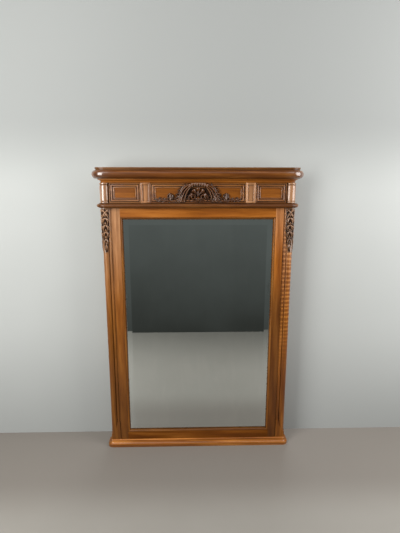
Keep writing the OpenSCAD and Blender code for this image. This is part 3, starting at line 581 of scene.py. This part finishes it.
def crestHeights(s):
    r = Relief(-s["halfWidth"] - 2, s["halfWidth"] + 2, 0, 100, s["step"])
    top = s["height"]
    # fluted shell under the lip, on its ground
    part = r.window(-48, 48, 30, 86)
    dx, dz = r.x[part], r.z[part] - 34
    turn, rad = np.arctan2(dx, dz), np.hypot(dx, dz)
    flute = np.abs(np.cos(turn * 4.5)) ** 0.7
    shell = 2.0 + 10.0 * flute * np.clip(rad / 30, 0, 1) + 4.0 * np.clip((rad - 26) / 10, 0, 1)
    r.raiseTo(part, np.where((rad < 37 + 4 * flute) & (dz > -4), shell, -1))
    # a low plate filling the arch, painted dark as shade by the ground mask further down
    part = r.window(-80, 80, 8, 90)
    r.raiseTo(part, np.where((r.x[part] / 78) ** 2 + ((r.z[part] - 8) / 80) ** 2 < 1, 0.4, -1))
    for side in (-1, 1):
        def at(*points):
            return [(side * x, z) for x, z in points]

        def tips(*rows):
            return [(t, (side * x, z)) for t, x, z in rows]

        # low sprays towards the corners of the panel
        stem = at((112, 12), (146, 6), (176, 22), (206, 13))
        spray(r, stem, tips((0.02, 140, 23), (0.14, 150, 6), (0.28, 168, 25), (0.42, 178, 6), (0.54, 190, 27),
                            (0.68, 200, 6), (0.80, 208, 22)), 14, top * 0.66, top * 0.54, 0.35, 1.1)
        blade(r, stem, 6, top * 0.72, top * 0.62, 0.0)
        # flower on its stem beside the arch
        blade(r, at((108, 8), (120, 4), (130, 8), (133, 24)), 9, top * 0.66, top * 0.72, 0.2)
        blade(r, at((126, 5), (138, 3), (150, 12)), 11, top * 0.64, top * 0.58)
        volute(r, side * 136, 33, 15, top * 0.66, side, 1.1, 0.50, 0.2)
        blade(r, at((137, 16), (133, 32), (138, 47)), 13, top * 1.0, top * 0.82, 0.18, full=0.8)
        blade(r, at((130, 22), (124, 30), (124, 42)), 8, top * 0.80, top * 0.66)
        # acanthus limb: the mass of the leaf, its outer lobes, the lobes of its foot, the long ribs
        axis = at((46, 84), (70, 72), (80, 44), (88, 10))
        blade(r, axis, 40, top * 0.62, top * 0.56, 0.0, 0.8, 0, 0.75, 5.0)
        spray(r, axis, tips((0.00, 64, 93), (0.12, 84, 80), (0.30, 97, 62), (0.48, 107, 42), (0.66, 113, 22)),
              25, top * 0.74, top * 0.52, 0.45, 1.25, top * 0.16)
        spray(r, axis, tips((0.20, 51, 54), (0.38, 54, 34), (0.56, 58, 16)), 18, top * 0.74, top * 0.54,
              0.40, 1.2, top * 0.12)
        spray(r, axis, tips((0.70, 109, 8), (0.78, 95, 4), (0.78, 80, 4), (0.70, 65, 5)), 19, top * 0.86,
              top * 0.66, 0.40, 1.2, top * 0.14)
        for points, width in ((at((46, 86), (76, 76), (86, 48), (100, 14)), 9),
                              (at((44, 80), (64, 66), (76, 42), (84, 8)), 9),
                              (at((42, 72), (58, 58), (62, 38), (68, 12)), 8)):
            blade(r, points, width, top * 1.0, top * 0.84, 0.0)
        # volute and the leaves round it
        volute(r, side * 24, 30, 14.5, top * 0.74, -side, 1.2, 0.36, 0.35)
        blade(r, at((42, 40), (48, 26), (42, 8)), 12, top * 0.70, top * 0.50)
        blade(r, at((6, 9), (22, 15), (38, 6)), 12, top * 0.70, top * 0.50)
        blade(r, at((10, 46), (18, 60), (34, 58)), 12, top * 0.56, top * 0.38)
        blade(r, at((3, 24), (12, 18), (16, 5)), 10, top * 0.84, top * 0.55)
        # turned-over lip of the arch
        for x, z in ((6, 97), (18, 96), (30, 93), (41, 88)):
            blade(r, at((x, z), (x * 1.03, z - 7), (x * 0.98, z - 13)), 19, top * 1.02, top * 0.90, 0.08, 1.0,
                  full=0.35, flat=4.0)
    # the leaf, the bud and the tail on the middle line
    blade(r, [(0, 36), (0, 48), (0, 64)], 15, top * 0.60, top * 0.42)
    bud(r, 0, 24, 8, 10, top * 0.98, 2)
    blade(r, [(0, 18), (0, 10), (0, 4)], 13, top * 0.88, top * 0.6)
    # painted shade on the bare ground between the motifs
    r.dark = ((r.h > 0) & (r.h < 0.6)) * 0.22
    r.h[(r.z < s["foot"]) | (r.z > s["head"])] = -1.0
    return r


# how much of a height stays its own and how much is softened, and what counts as a hollow for painted shade
# or as worn with a painted highlight
carveSizes = {"own": 0.55, "soft": 0.45, "round": 1.0, "near": 2.4, "far": 7.0, "nearDeep": 2.2,
              "farDeep": 7.0, "wornSheenRise": 1.6, "under": -0.6}


# A relief becomes a closed solid: its heights in front, a back sunk in the ground, and walls between.
def solidFromRelief(name, relief, toPoint, material, top, plate=False, mirrored=False):
    s = carveSizes
    heights = np.where(relief.h > 0, relief.h, s["under"])
    soft = np.maximum(relief.blur(heights, s["round"]), 0.2)
    heights = np.where(heights > 0, s["own"] * heights + s["soft"] * soft, heights)
    # cavity marks the painted shade of the hollows and of the deep ground
    near, far = relief.blur(heights, s["near"]), relief.blur(heights, s["far"])
    cavity = np.clip((near - heights) / s["nearDeep"], 0, 1) + np.clip((far - heights) / s["farDeep"], 0, 1)
    cavity = np.maximum(cavity, relief.dark)
    # worn marks the painted highlight, with wear, where a part stands above its surroundings
    worn = np.clip((heights - near) / s["wornSheenRise"], 0, 1)
    lift = np.clip(heights / top, 0, 1)
    if plate:
        lift = np.maximum(lift, 1 - relief.dark)
    inside = heights > 0
    keep = inside[:-1, :-1] | inside[1:, :-1] | inside[:-1, 1:] | inside[1:, 1:]
    number = np.full(heights.shape, -1)
    used = np.zeros(heights.shape, bool)
    for rows in (slice(None, -1), slice(1, None)):
        for cols in (slice(None, -1), slice(1, None)):
            used[rows, cols] |= keep
    count = int(used.sum())
    number[used] = np.arange(count)
    front = toPoint(relief.x[used], relief.z[used], heights[used])
    back = toPoint(relief.x[used], relief.z[used], np.full(count, -sink))
    j, i = np.nonzero(keep)
    a, b, c, d = number[j, i], number[j, i + 1], number[j + 1, i + 1], number[j + 1, i]
    faces = [np.stack([a, b, c, d], 1), np.stack([d, c, b, a], 1) + count]
    padded = np.pad(keep, 1)
    for dj, di, p, q in ((-1, 0, a, b), (0, 1, b, c), (1, 0, c, d), (0, -1, d, a)):
        bare = ~padded[j + 1 + dj, i + 1 + di]
        p, q = p[bare], q[bare]
        faces.append(np.stack([q, p, p + count, q + count], 1))
    faces = np.concatenate(faces)
    mesh = bpy.data.meshes.new(name)
    mesh.from_pydata(np.concatenate([front, back]) * mm, [], (faces[:, ::-1] if mirrored else faces).tolist())
    mesh.polygons.foreach_set("use_smooth", np.ones(len(mesh.polygons), bool))
    for label, values in (("cavity", cavity), ("worn", worn), ("lift", lift)):
        data = mesh.attributes.new(label, "FLOAT", "POINT").data
        data.foreach_set("value", np.concatenate([values[used], np.ones(count)]).astype(np.float32))
    mesh.update()
    obj = placed(name, mesh)
    dress(obj, material)
    return obj


def crestPoint(x, z, h):
    return np.stack([x, fieldY / mm - h, friezeZ / mm + z], 1)


crest = solidFromRelief("crestRelief", crestHeights(crestSizes), crestPoint, carvedWalnut,
                        crestSizes["height"])
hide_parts("crest_carving")
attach(crest, "root")
print("crest carved:", len(crest.data.polygons), "faces")


dropSizes = {"length": 222, "step": 0.6, "height": 5.6, "radius": 17.0, "flat": 25.0, "ground": 1.6,
             "floor": 0.3, "off": 3.2, "postHalf": 475}
# the sunk field of its plate: half its width at the foot, how much it widens and by what height
fieldSizes = {"half": 4, "widening": 15.5, "full": 110, "head": 218, "foot": 3, "fade": 6, "edge": 1.2}
# where the plate thins towards its foot and narrows to the round of the column
plateSizes = {"thin": 60, "thinOver": 70, "narrow": 9, "narrowFrom": 112, "narrowOver": 60}


# A drop is laid out flat: x runs over the front, round the column and on over the side.
def dropHeights(s, field, plate):
    top, quarter = s["height"], s["radius"] * math.pi / 2
    r = Relief(-s["flat"], quarter + s["flat"], 0, s["length"], s["step"])
    centres = (-s["off"], quarter + s["off"])   # one drop on the front, one on the side
    # the ground is sunk inside a flush border, and the border dies out downwards
    width = field["half"] + field["widening"] * np.clip(r.z / field["full"], 0, 1) ** 0.8
    upright = (np.clip((field["head"] - r.z) / field["edge"], 0, 1)
               * np.clip((r.z - field["foot"]) / field["fade"], 0, 1))
    sunk = np.zeros(r.x.shape)
    for centre in centres:
        sunk = np.maximum(sunk, np.clip((width - np.abs(r.x - centre)) / field["edge"], 0, 1) * upright)
    full = np.clip((r.z - plate["thin"]) / plate["thinOver"], 0, 1)
    border = s["floor"] + (s["ground"] - s["floor"]) * full
    ground = border + (s["floor"] - border) * sunk
    r.h[:] = ground
    for centre in centres:
        for side in (-1, 1):
            def at(*points):
                return [(centre + side * x, z) for x, z in points]

            # crossed sprays at the head
            leaf(r, at((-17, 217), (-10, 208), (5, 196), (17, 182)), 9.5, top * (1.0 + 0.08 * side), 5, 0.35)
            leaf(r, at((3, 216), (9, 214), (15, 208), (18, 198)), 6, top * 0.9, 3, 0.35)
            leaf(r, at((-1, 194), (-7, 187), (-13, 181), (-17, 168)), 7.5, top * 0.95, 4, 0.35)
            # pairs of husks
            for z, big in ((174, 1.0), (139, 0.94), (106, 0.84)):
                leaf(r, at((0.5, z), (6 * big, z - 4), (15 * big, z - 13), (8.5 * big, z - 37)), 8.5 * big,
                     top, 4, 0.30)
                leaf(r, at((9 * big, z - 3), (15 * big, z - 6), (20 * big, z - 12), (17.5 * big, z - 29)),
                     5.5 * big, top * 0.85, 3, 0.35)
                bud(r, centre + side * 2.9 * big, z - 29, 2.6, 3.8, top * 0.9)
            leaf(r, at((0.5, 72), (6, 64), (11, 54), (5.5, 36)), 6.5, top * 0.85, 3, 0.30)
            leaf(r, at((0.5, 42), (3, 34), (6, 26), (3, 12)), 4.5, top * 0.75, 3, 0.25)
        for z in (184, 149, 115, 83):
            bud(r, centre, z, 3.3, 5.0, top * 1.1)
        leaf(r, [(centre, 60), (centre, 42), (centre, 22), (centre, 5)], 5, top * 0.9, 3, 0.2)
    raised = r.h > ground + 0.25
    # painted shade in the sunk ground round the carving
    r.dark = sunk * r.blur((~raised).astype(float), 0.9)
    # lower down, the plate ends at the round of the column
    narrowed = np.clip((plate["narrowFrom"] - r.z) / plate["narrowOver"], 0, 1)
    reach = s["flat"] + (plate["narrow"] - s["flat"]) * narrowed
    outside = (r.x < -reach) | (r.x > quarter + reach)
    r.h[outside & (r.blur(raised.astype(float), 2.4) < 0.06)] = -1.0
    return r


def dropPoint(side, s):
    radius, quarter = s["radius"], s["radius"] * math.pi / 2
    axisX, axisY = s["postHalf"] - radius, frontY / mm + radius
    footZ = headZ / mm - s["length"]

    def point(u, z, h):
        turn = np.clip(u / radius, 0, math.pi / 2)
        out = radius + h + 0.1
        x = axisX + np.sin(turn) * out + np.minimum(u, 0)
        y = axisY - np.cos(turn) * out + np.maximum(u - quarter, 0)
        return np.stack([side * x, y, footZ + z], 1)

    return point


for side, label in ((-1, "left"), (1, "right")):
    drop = solidFromRelief("dropRelief" + label.capitalize(), dropHeights(dropSizes, fieldSizes, plateSizes),
                           dropPoint(side, dropSizes), carvedPost, dropSizes["height"], True, side < 0)
    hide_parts("drop_" + label)
    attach(drop, "root")
print("drops carved")


class Build:
    def __init__(self, name):
        self.tree = bpy.data.node_groups.new(name, "GeometryNodeTree")
        self.tree.interface.new_socket("Geometry", in_out="INPUT", socket_type="NodeSocketGeometry")
        self.tree.interface.new_socket("Geometry", in_out="OUTPUT", socket_type="NodeSocketGeometry")
        self.start = self.tree.nodes.new("NodeGroupInput")
        self.end = self.tree.nodes.new("NodeGroupOutput")
        self.names = {}

    def size(self, label, value):
        item = self.tree.interface.new_socket(label, in_out="INPUT", socket_type="NodeSocketFloat")
        item.default_value = value
        self.names[label] = item.identifier
        return self.start.outputs[label]

    def add(self, kind, settings=None, inputs=None, output=0):
        node = self.tree.nodes.new(kind)
        for key, value in (settings or {}).items():
            setattr(node, key, value)
        for key, value in (inputs or {}).items():
            for one in value if isinstance(value, list) else [value]:
                if isinstance(one, bpy.types.NodeSocket):
                    self.tree.links.new(one, node.inputs[key])
                else:
                    node.inputs[key].default_value = one
        return node.outputs[output]

    def vector(self, **parts):
        return self.add("ShaderNodeCombineXYZ", None, parts)

    def times(self, a, b):
        return self.add("ShaderNodeMath", {"operation": "MULTIPLY"}, {0: a, 1: b})


screwSizes = {"Head Radius": 3.6, "Head Rise": 1.1, "Slot Width": 0.8, "Shank Radius": 1.6, "Length": 18.0}
screwShape = {"headSides": 28, "taper": 0.8, "shankSides": 16, "tip": 0.3, "slotLength": 20, "seat": 1.2}
screwSeed = 7


def screwTree(material, sizes, shape):
    g = Build("slottedScrews")
    head, rise, slot, shank, length = [g.size(label, value * mm) for label, value in sizes.items()]
    top = g.add("GeometryNodeMeshCone", {"fill_type": "NGON"},
                {"Vertices": shape["headSides"], "Side Segments": 1,
                 "Radius Top": g.times(head, shape["taper"]), "Radius Bottom": head, "Depth": rise}, "Mesh")
    groove = g.add("GeometryNodeMeshCube", None,
                   {"Size": g.vector(X=shape["slotLength"] * mm, Y=slot, Z=rise)}, "Mesh")
    lifted = g.add("GeometryNodeTransform", None, {"Geometry": groove, "Translation": g.vector(Z=rise)})
    cutHead = g.add("GeometryNodeMeshBoolean", {"operation": "DIFFERENCE"},
                    {"Mesh 1": top, "Mesh 2": lifted}, "Mesh")
    pin = g.add("GeometryNodeMeshCone", {"fill_type": "NGON"},
                {"Vertices": shape["shankSides"], "Radius Top": shank, "Radius Bottom": shape["tip"] * mm,
                 "Depth": length}, "Mesh")
    pinDown = g.add("GeometryNodeTransform", None,
                    {"Geometry": pin, "Translation": g.vector(Z=g.times(length, -1.0))})
    screw = g.add("GeometryNodeJoinGeometry", None, {"Geometry": [cutHead, pinDown]})
    turn = g.add("FunctionNodeRandomValue", {"data_type": "FLOAT"}, {2: 0.0, 3: 3.1416, "Seed": screwSeed}, 1)
    stood = g.add("GeometryNodeInstanceOnPoints", None,
                  {"Points": g.start.outputs["Geometry"], "Instance": screw,
                   "Rotation": g.vector(X=-math.pi / 2)}, "Instances")
    spun = g.add("GeometryNodeRotateInstances", None, {"Instances": stood, "Rotation": g.vector(Z=turn)})
    plain = g.add("GeometryNodeRealizeInstances", None, {"Geometry": spun})
    done = g.add("GeometryNodeSetMaterial", None, {"Geometry": plain, "Material": material})
    g.tree.links.new(done, g.end.inputs["Geometry"])
    return g


def screwsAt(name, points, tree, sizes):
    mesh = bpy.data.meshes.new(name)
    mesh.from_pydata(points, [], [])
    host = placed(name + "Points", mesh)
    modifier = host.modifiers.new("screws", "NODES")
    modifier.node_group = tree.tree
    for label, value in sizes.items():
        modifier[tree.names[label]] = value * mm
    bpy.context.view_layer.update()
    made = bpy.data.meshes.new_from_object(host.evaluated_get(bpy.context.evaluated_depsgraph_get()))
    host.modifiers.clear()
    bpy.data.objects.remove(host)
    return placed(name, made)


def islandCentres(obj):                     # of each loose part: its middle, at its rearmost y
    bm = bmesh.new()
    bm.from_mesh(obj.data)
    bmesh.ops.remove_doubles(bm, verts=bm.verts, dist=1e-6)
    seen, centres = set(), []
    for start in bm.verts:
        if start.index in seen:
            continue
        stack, members = [start], []
        seen.add(start.index)
        while stack:
            v = stack.pop()
            members.append(v.co.copy())
            for e in v.link_edges:
                o = e.other_vert(v)
                if o.index not in seen:
                    seen.add(o.index)
                    stack.append(o)
        low = Vector([min(c[k] for c in members) for k in range(3)])
        high = Vector([max(c[k] for c in members) for k in range(3)])
        centres.append(((low.x + high.x) / 2, high.y, (low.z + high.z) / 2))
    bm.free()
    return sorted(centres)


heads = [(x, y - screwShape["seat"] * mm, z) for x, y, z in islandCentres(nodes["back_screws"])]
backScrews = screwsAt("backScrews", heads, screwTree(steel, screwSizes, screwShape), screwSizes)
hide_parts("back_screws")
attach(backScrews, "root")
print("screws placed:", len(heads))


def plane(name, corners, material):
    mesh = bpy.data.meshes.new(name)
    mesh.from_pydata(corners, [], [(0, 1, 2, 3)])
    obj = placed(name, mesh)
    dress(obj, material)
    return obj


roomTones = {"floorDark": (0.242, 0.228, 0.203, 1), "floorLight": (0.272, 0.257, 0.232, 1),
             "floorOut": (0.10, 0.097, 0.085, 1), "floorByWall": (0.166, 0.147, 0.128, 1),
             "wallDark": (0.37, 0.385, 0.375, 1), "wallLight": (0.41, 0.425, 0.415, 1),
             "wallShade": (0.235, 0.245, 0.240, 1), "screenLow": (0.036, 0.038, 0.034),
             "screenHigh": (0.112, 0.122, 0.116)}


def floorFinish():
    f = Finish("paleFloor")
    tint = f.noise(f.place(), 3.0, 3)
    out = f.axis("Y") * -1.0                # how far out in front of the piece
    colour = f.mix(tint, roomTones["floorDark"], roomTones["floorLight"])
    # painted shade: the floor darker far out in front and close by the wall
    colour = f.mix(out.band(0.75, 1.8) * 0.75, colour, roomTones["floorOut"])
    colour = f.mix((1 - out.band(0.26, 0.55)) * 0.8, colour, roomTones["floorByWall"])
    return f.finish(f.surface({"Base Color": colour, "Roughness": 0.6}))


def wallFinish():
    f = Finish("paleWall")
    height, shade = f.axis("Z"), roomTones["wallShade"]
    colour = f.mix(f.noise(f.place(), 2.0, 2), roomTones["wallDark"], roomTones["wallLight"])
    # painted shade: the wall darker towards the top and towards the floor
    colour = f.mix(height.band(1.35, 1.75) * 0.78, colour, shade)
    colour = f.mix((1 - height.band(0.0, 0.7)) * 0.45, colour, shade)
    solid = f.surface({"Base Color": colour, "Roughness": 0.8})
    clear = f.add("ShaderNodeBsdfTransparent")
    behind = f.add("ShaderNodeNewGeometry", None, None, "Backfacing")       # seen through from behind
    return f.finish(f.add("ShaderNodeMixShader", None, {0: behind, 1: solid, 2: clear}))


def screenFinish():
    f = Finish("darkScreen")
    haze = f.noise(f.place(), 2.2, 3)
    level = f.axis("Z") * 0.85 + (haze - 0.5) * 0.35 + abs(f.axis("X")).band(0.74, 0.80) * 0.28
    colour = f.ramp(level, [(0.0, roomTones["screenLow"]), (1.0, roomTones["screenHigh"])])
    return f.finish(f.add("ShaderNodeEmission", None, {"Color": colour, "Strength": 1.0}))


roomSizes = {"side": 4, "front": -5, "back": 3, "wallY": 0.12, "wallTop": 3.2, "screenY": -1.68,
             "screenHalf": 1.0, "screenTop": 2.4}


def makeRoom(s):
    side, front, back, wallY, wallTop = s["side"], s["front"], s["back"], s["wallY"], s["wallTop"]
    half, far = s["screenHalf"], s["screenY"]
    plane("floor", [(-side, front, 0), (side, front, 0), (side, back, 0), (-side, back, 0)], floorFinish())
    wall = plane("wall", [(-side, wallY, 0), (side, wallY, 0), (side, wallY, wallTop),
                          (-side, wallY, wallTop)], wallFinish())
    wall.visible_shadow = False             # the lamp behind it lights the back of the piece
    # the dark room that the glass shows: a faintly glowing sheet that only reflections see
    screen = plane("screen", [(-half, far, 0), (-half, far, s["screenTop"]), (half, far, s["screenTop"]),
                              (half, far, 0)], screenFinish())
    screen.visible_camera = False
    screen.visible_diffuse = False
    screen.visible_shadow = False


# each lamp: place, what it points at, width and height, watts, colour
lamps = {
    "leftWindow": ((-1.60, -1.60, 1.75), (0, 0, 1.2), (1.2, 2.2), 76, (1.0, 0.985, 0.96)),
    "rightWindow": ((1.92, -0.80, 1.70), (0.2, 0, 1.2), (1.4, 2.2), 52, (1.0, 0.985, 0.97)),
    "ceiling": ((0.0, -1.3, 3.0), (0, 0, 0.6), (2.4, 1.2), 18, (1.0, 0.99, 0.97)),
    "backFill": ((0.4, 2.6, 1.25), (0, 0, 0.7), (1.8, 1.4), 30, (1.0, 0.99, 0.97)),
}


def softLight(name, place, target, size, power, tint):
    data = bpy.data.lights.new(name, "AREA")
    data.shape = "RECTANGLE"
    data.size, data.size_y = size
    data.energy = power
    data.color = tint
    lamp = placed(name, data)
    lamp.location = place
    lamp.rotation_euler = (Vector(target) - Vector(place)).to_track_quat("-Z", "Y").to_euler()
    return lamp


makeRoom(roomSizes)
lit = {name: softLight(name, *look) for name, look in lamps.items()}
glassOnly = bpy.data.collections.new("glassOnly")       # from the sides, no window lamp shows in the glass
glassOnly.objects.link(nodes["mirror_glass"])
glassOnly.collection_objects[0].light_linking.link_state = "EXCLUDE"
for name in ("leftWindow", "rightWindow"):
    lit[name].light_linking.receiver_collection = glassOnly

worldLook = {"Color": (0.93, 0.95, 1.0, 1), "Strength": 0.16}
world = bpy.data.worlds.new("softRoom")
scene.world = world
world.use_nodes = True
for socket, value in worldLook.items():
    world.node_tree.nodes["Background"].inputs[socket].default_value = value
scene.view_settings.view_transform = "Standard"
print("room lit")

bpy.context.view_layer.update()
